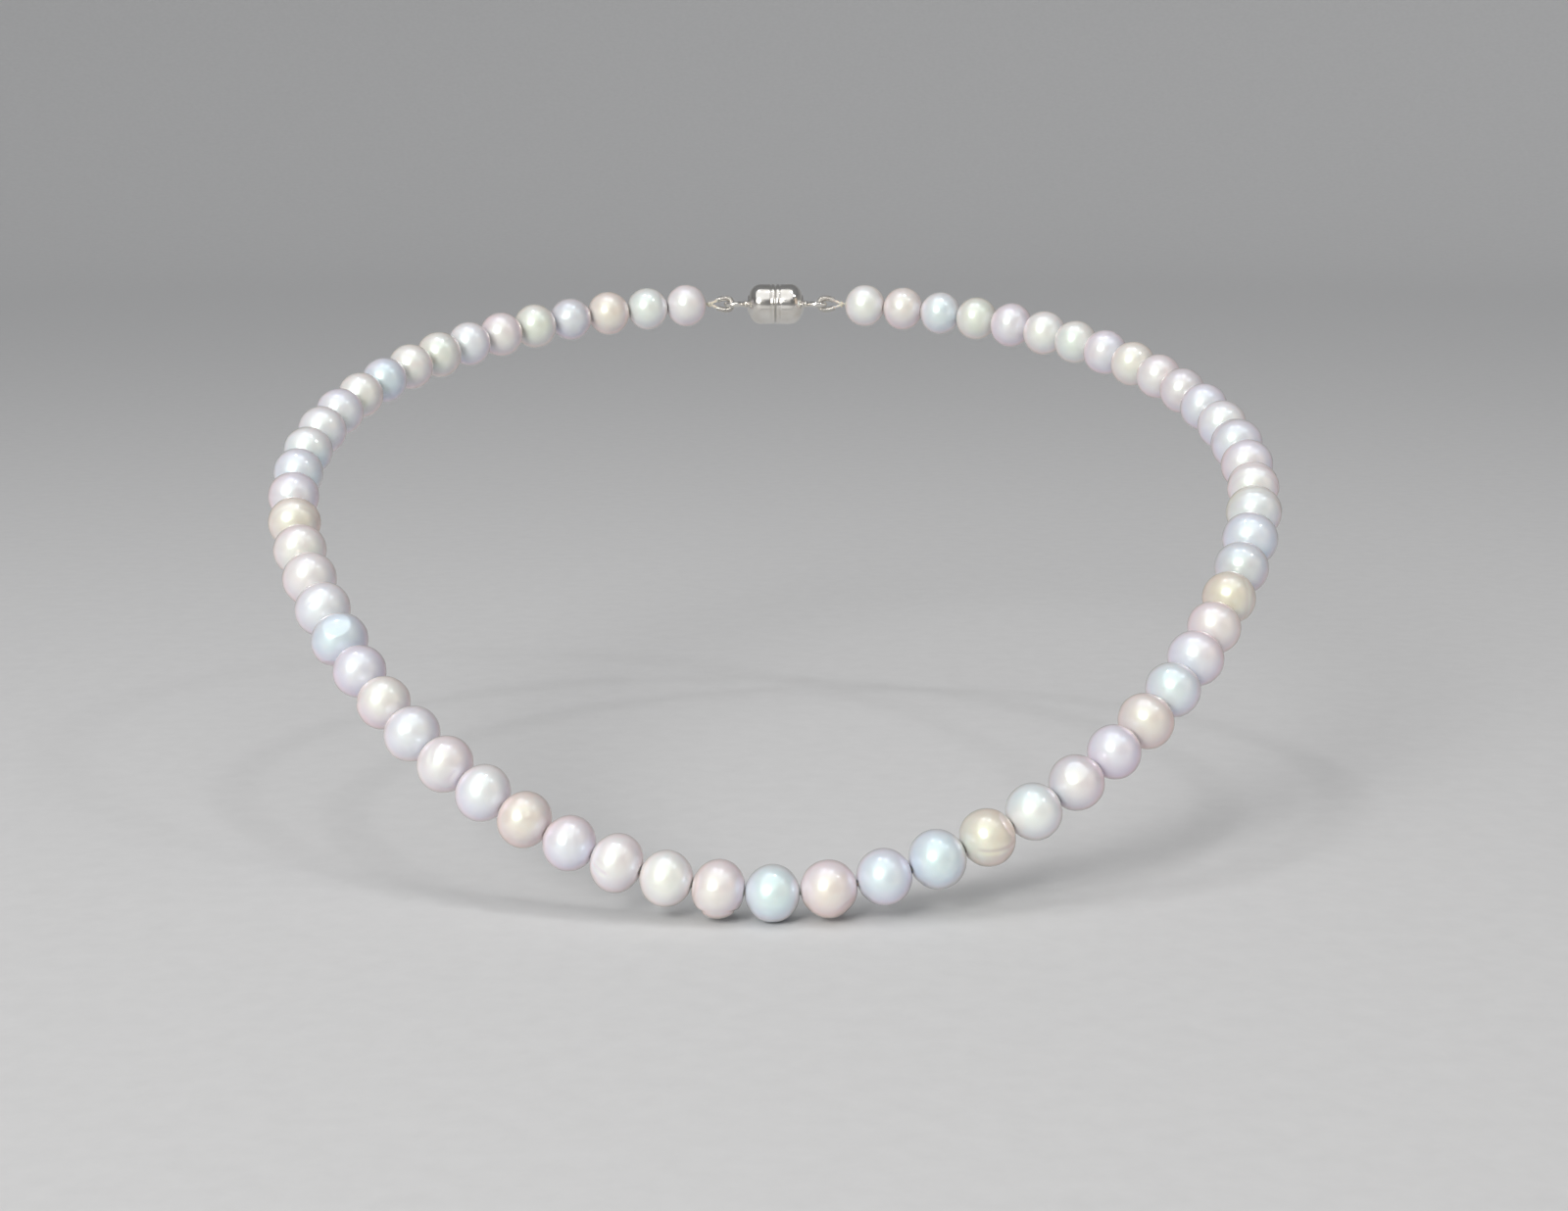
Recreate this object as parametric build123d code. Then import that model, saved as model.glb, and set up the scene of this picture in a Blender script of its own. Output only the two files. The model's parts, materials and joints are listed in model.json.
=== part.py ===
from build123d import *
import os
from math import radians, sqrt, tan

# A pearl necklace, clasped and hanging as it is worn. Millimetres.
# The origin is the centre of the front pearl. +X is to the right of someone facing the wearer,
# +Y runs back to the nape and +Z is up. Left and right are that viewer's too.

# Pearls, from the one beside the front pearl to the nape: (width across the thread, length along it)
FRONT_PEARL = (7.3, 6.8)
LEFT_PEARLS = [
    (7.6, 6.5), (7.2, 6.6), (7.6, 6.4), (7.2, 6.6), (7.4, 6.6), (7.5, 6.7), (7.6, 6.7), (7.6, 6.6),
    (7.2, 6.6), (7.2, 6.7), (7.8, 6.6), (7.7, 7.0), (7.6, 7.0), (7.5, 6.6), (7.5, 7.0), (7.4, 6.7),
    (7.4, 6.8), (7.3, 6.8), (7.4, 6.9), (7.3, 6.8), (7.1, 6.8), (7.2, 6.9), (7.3, 6.8), (7.4, 6.9),
    (7.2, 6.7), (7.3, 6.9), (7.4, 6.8), (7.1, 6.9), (7.3, 7.0), (7.2, 6.8),
]
RIGHT_PEARLS = [
    (7.4, 7.1), (7.3, 6.9), (7.7, 7.1), (7.5, 6.9), (7.5, 7.0), (7.3, 7.1), (7.2, 6.8), (7.6, 6.6),
    (7.5, 6.7), (7.7, 6.6), (7.4, 6.6), (7.4, 6.7), (7.6, 7.0), (7.9, 6.9), (8.0, 6.9), (7.6, 6.6),
    (7.7, 6.5), (7.8, 6.6), (7.5, 6.8), (7.3, 6.8), (7.1, 6.8), (7.1, 6.6), (7.2, 6.6), (7.3, 6.7),
    (7.1, 6.6), (7.3, 6.7), (7.4, 6.6), (7.2, 6.7), (7.2, 6.6), (7.3, 6.6),
]
CLOSING_WIDTH = 7.2      # the last pearl of each side, whose length closes the strand
PEARL_GAP = 0.1          # between the poles of two neighbours
DRILL_RADIUS = 0.45
SINGLE_PEARLS = 22       # pearls of each side that have a node of their own
GROUP_SIZE = 3           # pearls in each node at the nape

# Route of the thread through the right half, from the front pearl's side to the knot at the nape.
# The left half mirrors it, and the two close into one smooth loop.
NAPE_Y = 135.0
NAPE_Z = 65.0
ROUTE_END_X = 12.0
ROUTE_POINTS = [
    (28.7, 5.4, 6.5),
    (48.9, 18.3, 18.2),
    (62.3, 37.4, 31.0),
    (69.3, 60.2, 42.6),
    (66.3, 84.8, 51.8),
    (54.6, 107.5, 58.4),
    (36.0, 125.5, 62.8),
    (ROUTE_END_X, NAPE_Y, NAPE_Z),
]

# Silk thread, its end knots and the loops that hold the clasp, measured from the clasp's face
THREAD_RADIUS = 0.25
ARC_SHARE = 0.45         # how much of the shorter run each arc's tangent takes
KNOT_RADIUS = 0.6
KNOT_X = 11.3
LOOP_HALF_WIDTH = 1.0
LOOP_BEND_X = 9.3        # where the two legs turn towards the knot
LOOP_TIP_X = 7.5
LOOP_TIP_RADIUS = 0.95
LOOP_BEND_RADIUS = 2.0

# Gimp: a tube of coiled wire that guards each loop
GIMP_OUTER_RADIUS = 0.5
GIMP_INNER_RADIUS = 0.36
GIMP_END_X = 10.0

# Magnetic clasp: two alike halves that meet face to face at X = 0
FACE_GAP = 0.1           # between the two faces
CUP_RADIUS = 3.4
CUP_RIM_ROUND = 0.25
CUP_STRAIGHT_X = 2.9     # where the cup's side starts to round over
CUP_END_X = 4.75
CUP_END_RADIUS = 1.3
MAGNET_RADIUS = 2.9
MAGNET_CLEARANCE = 0.02
MAGNET_BACK_X = 2.5
HEAD_POCKET_RADIUS = 1.4
HEAD_POCKET_END_X = 3.5
SHANK_HOLE_RADIUS = 0.55
SHANK_RADIUS = 0.5
HEAD_RADIUS = 1.1
HEAD_FRONT_X = 2.9
HEAD_BACK_X = 3.4
EYE_CENTRE_X = 7.0
EYE_RADIUS = 1.5         # to the middle of the wire
EYE_WIRE_RADIUS = 0.4

SIDES = {"left": (-1, LEFT_PEARLS), "right": (1, RIGHT_PEARLS)}
FRONT_HALF_LINK = (FRONT_PEARL[1] + PEARL_GAP) / 2


def closed_route():
    """The whole loop as one smooth curve, from the front pearl's right side round to its left side."""
    right = [(FRONT_HALF_LINK, 0, 0)] + ROUTE_POINTS
    left = [(-x, y, z) for x, y, z in reversed(right)]
    return Spline(*right, *left, periodic=True)


def step_along(route, start, chord):
    """The length along the route at which the straight distance from the start equals the chord."""
    here = route.position_at(start, position_mode=PositionMode.LENGTH)
    reach = start + chord
    for _ in range(8):
        there = route.position_at(reach, position_mode=PositionMode.LENGTH)
        reach += chord - (there - here).length
    return reach


def strand(side):
    """The gap points of one half, from the front pearl to the knot, and each pearl's width and length."""
    sign, pearls = SIDES[side]
    route = closed_route()
    points, along = [route.position_at(0)], 0.0
    for _, length in pearls:
        along = step_along(route, along, length + PEARL_GAP)
        points.append(route.position_at(along, position_mode=PositionMode.LENGTH))
    points.append(Vector(*ROUTE_POINTS[-1]))
    closing_length = (points[-1] - points[-2]).length - PEARL_GAP
    sizes = pearls + [(CLOSING_WIDTH, closing_length)]
    return [Vector(sign * p.X, p.Y, p.Z) for p in points], sizes


def pearl(start, end, size):
    """A drilled pearl between two gap points: a round a little flattened along the thread."""
    width, length = size
    middle = (width - length) / 2
    rim = sqrt((length / 2) ** 2 - (DRILL_RADIUS - middle) ** 2)
    side = ThreePointArc((DRILL_RADIUS, -rim), (width / 2, 0), (DRILL_RADIUS, rim))
    bore = Line((DRILL_RADIUS, rim), (DRILL_RADIUS, -rim))
    solid = revolve(Plane.XZ * make_face(side + bore), Axis.Z)
    return Plane(origin=(start + end) / 2, z_dir=end - start) * solid


def tangent_arcs(points):
    """One radius for each corner of a path, with tangents that take a share of the shorter run."""
    radii = []
    for before, corner, after in zip(points, points[1:], points[2:]):
        run = min((corner - before).length, (after - corner).length)
        turn = (corner - before).get_angle(after - corner)
        radii.append(ARC_SHARE * run / tan(radians(turn / 2)))
    return radii


def tube(path, radius):
    """A round tube along a path of straight runs and arcs."""
    section = Plane(origin=path @ 0, z_dir=path % 0) * Circle(radius)
    return sweep(section, path=path)


def loop_path(sign, end_x, end_height):
    """The loop through an eye: it stands upright, and both its ends are end_height off the middle."""
    outline = [
        (end_x, end_height),
        (LOOP_BEND_X, LOOP_HALF_WIDTH),
        (LOOP_TIP_X, LOOP_HALF_WIDTH),
        (LOOP_TIP_X, -LOOP_HALF_WIDTH),
        (LOOP_BEND_X, -LOOP_HALF_WIDTH),
        (end_x, -end_height),
    ]
    points = [Vector(sign * x, NAPE_Y, NAPE_Z + height) for x, height in outline]
    radii = [LOOP_BEND_RADIUS, LOOP_TIP_RADIUS, LOOP_TIP_RADIUS, LOOP_BEND_RADIUS]
    return FilletPolyline(*points, radius=radii)


def leg_height(x):
    """How far each leg of a loop is off the middle at x, between its bend and the knot."""
    return LOOP_HALF_WIDTH * (KNOT_X - x) / (KNOT_X - LOOP_BEND_X)


def silk_thread(left_points, right_points):
    """The one thread through every pearl, with an end knot and a loop at each side."""
    knots = [Vector(sign * KNOT_X, NAPE_Y, NAPE_Z) for sign in (-1, 1)]
    points = [knots[0]] + left_points[::-1] + right_points + [knots[1]]
    thread = tube(FilletPolyline(*points, radius=tangent_arcs(points)), THREAD_RADIUS)
    loop_start_x = KNOT_X - KNOT_RADIUS / 2
    for sign, knot in zip((-1, 1), knots):
        # A quarter turn keeps the sphere's seam clear of the tubes that enter it
        thread += Pos(*knot) * Rot(0, 0, 90) * Sphere(KNOT_RADIUS)
        thread += tube(loop_path(sign, loop_start_x, leg_height(loop_start_x)), THREAD_RADIUS)
    return thread


def gimp(sign):
    path = loop_path(sign, GIMP_END_X, leg_height(GIMP_END_X))
    return tube(path, GIMP_OUTER_RADIUS) - tube(path, GIMP_INNER_RADIUS)


def turned(outline):
    """A solid turned about the clasp's axis from an outline of (distance from the face, radius)."""
    profile = make_face(Polyline(*outline, close=True))
    return revolve(profile, Axis.X)


def at_nape(sign, solid):
    """Puts a piece of the right clasp half in its place, or its mirror image on the left."""
    placed = Pos(0, NAPE_Y, NAPE_Z) * solid
    return placed if sign > 0 else mirror(placed, about=Plane.YZ)


def clasp_cup(sign):
    face = FACE_GAP / 2
    cup = turned([
        (face, 0), (face, CUP_RADIUS), (CUP_STRAIGHT_X, CUP_RADIUS), (CUP_END_X, CUP_END_RADIUS), (CUP_END_X, 0),
    ])
    shoulder = cup.edges().filter_by(GeomType.CIRCLE).group_by(SortBy.RADIUS)[-1].sort_by(Axis.X)
    cup = fillet(shoulder[-1], (CUP_END_X - CUP_STRAIGHT_X) * 0.9)
    rim = cup.edges().filter_by(GeomType.CIRCLE).sort_by(Axis.X)[0]
    cup = fillet(rim, CUP_RIM_ROUND)
    cup -= turned([(0, 0), (0, MAGNET_RADIUS + MAGNET_CLEARANCE),
                   (MAGNET_BACK_X, MAGNET_RADIUS + MAGNET_CLEARANCE), (MAGNET_BACK_X, 0)])
    cup -= turned([(face, 0), (face, HEAD_POCKET_RADIUS),
                   (HEAD_POCKET_END_X, HEAD_POCKET_RADIUS), (HEAD_POCKET_END_X, 0)])
    cup -= turned([(face, 0), (face, SHANK_HOLE_RADIUS),
                   (CUP_END_X + 1, SHANK_HOLE_RADIUS), (CUP_END_X + 1, 0)])
    return at_nape(sign, cup)


def clasp_magnet(sign):
    face = FACE_GAP / 2
    disc = turned([(face, 0), (face, MAGNET_RADIUS), (MAGNET_BACK_X, MAGNET_RADIUS), (MAGNET_BACK_X, 0)])
    rims = disc.edges().filter_by(GeomType.CIRCLE)
    return at_nape(sign, chamfer(rims, CUP_RIM_ROUND / 2))


def clasp_eye(sign):
    """A wire ring on a headed shank that turns in the cup's end."""
    ring = Pos(EYE_CENTRE_X, 0, 0) * Torus(EYE_RADIUS, EYE_WIRE_RADIUS)
    shank = turned([
        (HEAD_FRONT_X, 0), (HEAD_FRONT_X, HEAD_RADIUS), (HEAD_BACK_X, HEAD_RADIUS),
        (HEAD_BACK_X, SHANK_RADIUS), (EYE_CENTRE_X - EYE_RADIUS, SHANK_RADIUS), (EYE_CENTRE_X - EYE_RADIUS, 0),
    ])
    return at_nape(sign, ring + shank)


def build():
    """Every node's solids, by name."""
    nodes = {}
    half = Vector(FRONT_HALF_LINK, 0, 0)
    nodes["pearl_front"] = pearl(-half, half, FRONT_PEARL)
    points = {}
    for side, (sign, _) in SIDES.items():
        points[side], sizes = strand(side)
        pearls = [pearl(a, b, size) for a, b, size in zip(points[side], points[side][1:], sizes)]
        for number, solid in enumerate(pearls[:SINGLE_PEARLS], 1):
            nodes[f"pearl_{side}_{number:02d}"] = solid
        for start in range(SINGLE_PEARLS, len(pearls), GROUP_SIZE):
            number = (start - SINGLE_PEARLS) // GROUP_SIZE + 1
            nodes[f"pearls_{side}_nape_{number}"] = Compound(children=pearls[start:start + GROUP_SIZE])
        nodes[f"gimp_{side}"] = gimp(sign)
        nodes[f"clasp_{side}_cup"] = clasp_cup(sign)
        nodes[f"clasp_{side}_magnet"] = clasp_magnet(sign)
        nodes[f"clasp_{side}_eye"] = clasp_eye(sign)
        print(side, "closing pearl", round(sizes[-1][1], 2))
    nodes["silk_thread"] = silk_thread(points["left"], points["right"])
    return nodes


def write(nodes):
    os.makedirs("parts", exist_ok=True)
    for name, solid in nodes.items():
        export_step(solid, f"parts/{name}.step")


write(build())
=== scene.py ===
import json
import math
import random

import bmesh
import bpy
import numpy as np
from mathutils import Matrix, Vector


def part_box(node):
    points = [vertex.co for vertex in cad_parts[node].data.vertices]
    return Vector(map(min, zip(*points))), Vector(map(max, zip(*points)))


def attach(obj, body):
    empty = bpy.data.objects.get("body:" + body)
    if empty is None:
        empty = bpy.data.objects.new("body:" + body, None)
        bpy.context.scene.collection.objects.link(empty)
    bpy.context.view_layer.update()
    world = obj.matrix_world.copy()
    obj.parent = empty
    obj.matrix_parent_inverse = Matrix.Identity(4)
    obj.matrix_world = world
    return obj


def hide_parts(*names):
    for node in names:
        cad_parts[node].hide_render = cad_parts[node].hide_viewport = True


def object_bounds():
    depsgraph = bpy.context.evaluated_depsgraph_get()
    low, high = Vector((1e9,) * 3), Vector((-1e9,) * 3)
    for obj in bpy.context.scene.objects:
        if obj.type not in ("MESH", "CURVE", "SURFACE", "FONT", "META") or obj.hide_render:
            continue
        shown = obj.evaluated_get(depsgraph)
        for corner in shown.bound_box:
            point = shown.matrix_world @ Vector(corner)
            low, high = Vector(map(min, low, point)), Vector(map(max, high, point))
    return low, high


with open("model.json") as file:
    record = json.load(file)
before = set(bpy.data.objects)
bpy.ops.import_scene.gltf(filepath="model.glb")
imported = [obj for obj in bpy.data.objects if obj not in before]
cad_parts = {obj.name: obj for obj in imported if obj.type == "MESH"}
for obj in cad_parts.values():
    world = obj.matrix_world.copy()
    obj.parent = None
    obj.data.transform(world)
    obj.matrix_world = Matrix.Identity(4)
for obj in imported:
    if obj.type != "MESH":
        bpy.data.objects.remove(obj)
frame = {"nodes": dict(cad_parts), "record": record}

# A pearl necklace, worn and clasped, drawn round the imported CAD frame. Metres.
# Left and right are those of someone who faces the wearer.

MM = 0.001
CAD_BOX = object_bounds()
BODY_OF = {
    node: body
    for body, nodes in frame["record"]["behaviour"]["bodies"].items()
    for node in nodes
}

# ---------------------------------------------------------------- camera
CAMERA_AT = Vector((1.45, -304.9, 90.0)) * MM
CAMERA_PITCH = 10.0  # degrees below the horizon
CAMERA_LENS = 58.5


def make_camera():
    data = bpy.data.cameras.new("camera")
    data.lens = CAMERA_LENS
    data.sensor_width = 36.0
    data.clip_start = 0.01
    camera = bpy.data.objects.new("camera", data)
    camera.location = CAMERA_AT
    camera.rotation_euler = (math.radians(90 - CAMERA_PITCH), 0, 0)
    bpy.context.scene.collection.objects.link(camera)
    bpy.context.scene.camera = camera


# ---------------------------------------------------------------- meshes
ON_AXIS = 0.01  # millimetres: an outline's points this close to its axis are left to the end faces


def new_object(name, points, faces, matrix=None):
    """A smooth-shaded mesh object. The points are in the matrix's own frame."""
    mesh = bpy.data.meshes.new(name)
    mesh.from_pydata([tuple(p) for p in points], [], faces)
    mesh.update()
    mesh.polygons.foreach_set("use_smooth", [True] * len(mesh.polygons))
    piece = bpy.data.objects.new(name, mesh)
    if matrix is not None:
        piece.matrix_world = matrix
    bpy.context.scene.collection.objects.link(piece)
    return piece


def wrapped_rows(rows, columns, closed_rows, offset=0):
    """The four-sided faces of a grid whose columns close on themselves, and whose rows may too."""
    faces = []
    for i in range(rows if closed_rows else rows - 1):
        below, above = offset + i * columns, offset + (i + 1) % rows * columns
        for j in range(columns):
            k = (j + 1) % columns
            faces.append((below + j, below + k, above + k, above + j))
    return faces


def finished(piece, body, slot, material, *stands_for):
    """Gives a piece its material and its body, and hides the CAD nodes it stands for. The slot is not used.
    """
    piece.data.materials.append(material)
    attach(piece, body)
    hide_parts(*stands_for)


def lathed(name, profile, matrix, segments):
    """A solid turned about local X from a closed outline of (distance along X, radius), in millimetres."""
    angles = np.linspace(0, 2 * math.pi, segments, endpoint=False)
    points = [
        (x * MM, r * MM * math.cos(a), r * MM * math.sin(a))
        for x, r in profile
        for a in angles
    ]
    return new_object(name, points, wrapped_rows(len(profile), segments, True), matrix)


def turned_shell(profile, reach, segments, points, faces):
    """Adds a shell turned about X, its edges softened and its ends closed, in millimetres."""
    offset = len(points)
    outline = [p for p in softened(profile, reach) if p[1] > ON_AXIS]
    for x, r in outline:
        for a in np.linspace(0, 2 * math.pi, segments, endpoint=False):
            points.append(Vector((x, r * math.cos(a), r * math.sin(a))) * MM)
    faces.extend(wrapped_rows(len(outline), segments, False, offset))
    for row in (0, len(outline) - 1):
        edge = tuple(offset + row * segments + j for j in range(segments))
        faces.append(edge if row else edge[::-1])


def softened(profile, reach):
    """A closed outline with each corner cut back twice, so that its edges catch the light."""
    result = []
    for before, corner, after in zip(profile[-1:] + profile[:-1], profile, profile[1:] + profile[:1]):
        b, c, a = (np.array(p, float) for p in (before, corner, after))
        into, out = b - c, a - c
        cut = min(reach, 0.45 * np.linalg.norm(into), 0.45 * np.linalg.norm(out))
        start = c + into / np.linalg.norm(into) * cut
        end = c + out / np.linalg.norm(out) * cut
        for t in (0.0, 0.33, 0.67, 1.0):
            result.append(tuple((1 - t) ** 2 * start + 2 * t * (1 - t) * c + t * t * end))
    return result


def spline_line(points, per_run):
    """Points along a smooth NURBS line that has these control points."""
    curve = bpy.data.curves.new("line", "CURVE")
    curve.dimensions = "3D"
    spline = curve.splines.new("NURBS")
    spline.points.add(len(points) - 1)
    for place, point in zip(spline.points, points):
        place.co = (*point, 1.0)
    spline.order_u = 3
    spline.use_endpoint_u = True
    spline.resolution_u = per_run
    holder = bpy.data.objects.new("line", curve)
    mesh = bpy.data.meshes.new_from_object(holder)
    line = [v.co.copy() for v in mesh.vertices]
    bpy.data.objects.remove(holder)
    bpy.data.curves.remove(curve)
    bpy.data.meshes.remove(mesh)
    return line


def frames_along(line):
    """The tangent and two turning-free normals at each point of a line."""
    count = len(line)
    tangents = [
        (line[min(i + 1, count - 1)] - line[max(i - 1, 0)]).normalized() for i in range(count)
    ]
    normal = tangents[0].orthogonal().normalized()
    result = []
    for tangent in tangents:
        normal = (normal - tangent * normal.dot(tangent)).normalized()
        result.append((tangent, normal, tangent.cross(normal)))
    return result


def evenly(line, step):
    """Points at even distances along a line."""
    travelled = [0.0]
    for a, b in zip(line, line[1:]):
        travelled.append(travelled[-1] + (b - a).length)
    count = max(2, round(travelled[-1] / step) + 1)
    array = np.array([tuple(p) for p in line])
    at = np.linspace(0, travelled[-1], count)
    columns = [np.interp(at, travelled, array[:, k]) for k in range(3)]
    return [Vector(p) for p in zip(*columns)]


def tube_mesh(line, radius, sides, points, faces):
    """Adds a round tube along a line, domed shut at both ends, to lists of points and faces."""
    offset = len(points)
    for place, (_, u, v) in zip(line, frames_along(line)):
        for j in range(sides):
            a = 2 * math.pi * j / sides
            points.append(place + radius * (math.cos(a) * u + math.sin(a) * v))
    faces.extend(wrapped_rows(len(line), sides, False, offset))
    for row, neighbour in ((0, 1), (len(line) - 1, len(line) - 2)):
        outward = (line[row] - line[neighbour]).normalized()
        tip = len(points)
        points.append(line[row] + outward * radius * 0.5)
        edge = [offset + row * sides + j for j in range(sides)]
        for j in range(sides):
            pair = (edge[j], edge[(j + 1) % sides])
            faces.append((*(pair if row else pair[::-1]), tip))


def coil_line(line, radius, pitch, start_angle=0.0):
    """A line wound round another at an even radius and pitch. The other's points are evenly spaced."""
    step = (line[1] - line[0]).length
    result = []
    for i, (place, (_, u, v)) in enumerate(zip(line, frames_along(line))):
        a = start_angle + 2 * math.pi * i * step / pitch
        result.append(place + radius * (math.cos(a) * u + math.sin(a) * v))
    return result


# ---------------------------------------------------------------- pearls: where the CAD has them
DRILL_RADIUS = 0.45 * MM
FRONT = "pearl_front"
SINGLE_PEARLS = 22
NAPE_GROUPS = 3


def solids_of(node):
    """The corner points of each separate solid of a CAD node."""
    mesh = bmesh.new()
    mesh.from_mesh(frame["nodes"][node].data)
    bmesh.ops.remove_doubles(mesh, verts=mesh.verts, dist=1e-6)
    left, found = set(mesh.verts), []
    while left:
        seed = left.pop()
        group, waiting = [seed.co.copy()], [seed]
        while waiting:
            for edge in waiting.pop().link_edges:
                for vertex in edge.verts:
                    if vertex in left:
                        left.remove(vertex)
                        waiting.append(vertex)
                        group.append(vertex.co.copy())
        found.append(np.array([tuple(p) for p in group]))
    mesh.free()
    return found


def box_middle(points):
    return (points.min(0) + points.max(0)) / 2


def chain():
    """Every CAD pearl from the left side of the nape round the front to the right: (node, points)."""
    front = (FRONT, solids_of(FRONT)[0])
    halves = []
    for side in ("left", "right"):
        names = [f"pearl_{side}_{n:02d}" for n in range(1, SINGLE_PEARLS + 1)]
        names += [f"pearls_{side}_nape_{n}" for n in range(1, NAPE_GROUPS + 1)]
        half, last = [], box_middle(front[1])
        for name in names:
            waiting = solids_of(name)
            while waiting:
                nearest = min(
                    range(len(waiting)), key=lambda i: np.linalg.norm(box_middle(waiting[i]) - last)
                )
                points = waiting.pop(nearest)
                last = box_middle(points)
                half.append((name, points))
        halves.append(half)
    return halves[0][::-1] + [front] + halves[1]


class Place:
    """One CAD pearl: its node, centre, drill ends, radius across, radius of its side's arc and local frame.

    Local X points into the loop, local Y faces the viewer in front and local Z runs along the thread."""

    def __init__(self, node, points, rough_axis):
        self.node, self.body = node, BODY_OF[node]
        middle, axis = box_middle(points), rough_axis / np.linalg.norm(rough_axis)
        # The second pass keeps only the rims of the drill hole, now that its direction is known
        for reach in (1.6, 1.05):
            along = (points - middle) @ axis
            off = np.linalg.norm(points - middle - np.outer(along, axis), axis=1)
            rims = off < reach * DRILL_RADIUS
            limit = 0.9 * along[rims].max()
            ends = [points[rims & (sign * along > limit)].mean(0) for sign in (-1, 1)]
            middle = (ends[0] + ends[1]) / 2
            axis = (ends[1] - ends[0]) / np.linalg.norm(ends[1] - ends[0])
        self.start, self.end, self.centre = Vector(ends[0]), Vector(ends[1]), Vector(middle)
        along = (points - middle) @ axis
        self.across = np.linalg.norm(points - middle - np.outer(along, axis), axis=1).max()
        rim, reach = (self.end - self.start).length / 2, self.across - DRILL_RADIUS
        self.bend = (rim * rim + reach * reach) / (2 * reach)
        z = Vector(axis)
        toward = CAMERA_AT - self.centre
        y = (toward - z * toward.dot(z)).normalized()
        self.axes = Matrix((y.cross(z), y, z)).transposed()


def places():
    pearls = chain()
    middles = [box_middle(points) for _, points in pearls]
    result = []
    for i, (node, points) in enumerate(pearls):
        rough_axis = middles[min(i + 1, len(middles) - 1)] - middles[max(i - 1, 0)]
        result.append(Place(node, points, rough_axis))
    return result


# ---------------------------------------------------------------- pearls: shape
PEARL_SIDES = 128  # round the thread
PEARL_ROWS = 84  # from one drill rim to the other
BORE_ROWS = 5
RIM_ROUND = 0.10 * MM  # rounding of the drill rim


def unit(x, y, z):
    v = np.array((x, y, z), float)
    return v / np.linalg.norm(v)


def smooth(low, high, value):
    t = np.clip((value - low) / (high - low), 0, 1)
    return t * t * (3 - 2 * t)


def angle_from(u, direction):
    return np.arccos(np.clip(u @ direction, -1, 1))


def pit(u, direction, reach, depth):
    """A small round dimple. Reach is in radians and depth is a share of the radius."""
    return depth * np.exp(-((angle_from(u, direction) / reach) ** 2))


def ring(u, direction, angle, reach, depth):
    """A growth ring: a shallow groove that runs round a direction at an angle from it."""
    return depth * np.exp(-(((angle_from(u, direction) - angle) / reach) ** 2))


def cap(u, direction, angle, reach, depth):
    """A dome that stands narrower than the rest. The step round it is deep in outline and soft in front."""
    away = angle_from(u, direction)
    step = ring(u, direction, angle, reach, depth * 1.5)
    inside = depth * 0.55 * (1 - smooth(angle - reach, angle + reach, away))
    return (step + inside) * (1 - 0.8 * smooth(0.15, 0.6, u[:, 1]))


def flat(u, direction, angle, depth):
    """A flattened side: the outline loses what stands beyond a plane."""
    limit = math.cos(angle)
    return np.clip(1 - limit / np.maximum(u @ direction, limit), 0, None) * depth


def crease(u, start, end, reach, depth):
    """A wrinkle along part of a great circle, deepest at its middle."""
    normal = np.cross(start, end)
    normal /= np.linalg.norm(normal)
    middle = (start + end) / np.linalg.norm(start + end)
    half = math.acos(float(np.clip(start @ middle, -1, 1)))
    beside = np.arcsin(np.clip(u @ normal, -1, 1))
    along = np.arctan2(u @ np.cross(normal, middle), u @ middle)
    fade = 1 - smooth(0.55 * half, half, np.abs(along))
    groove = np.exp(-((beside / reach) ** 2)) - 0.3 * np.exp(-(((beside - 2.2 * reach) / reach) ** 2))
    return depth * fade * groove


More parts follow.
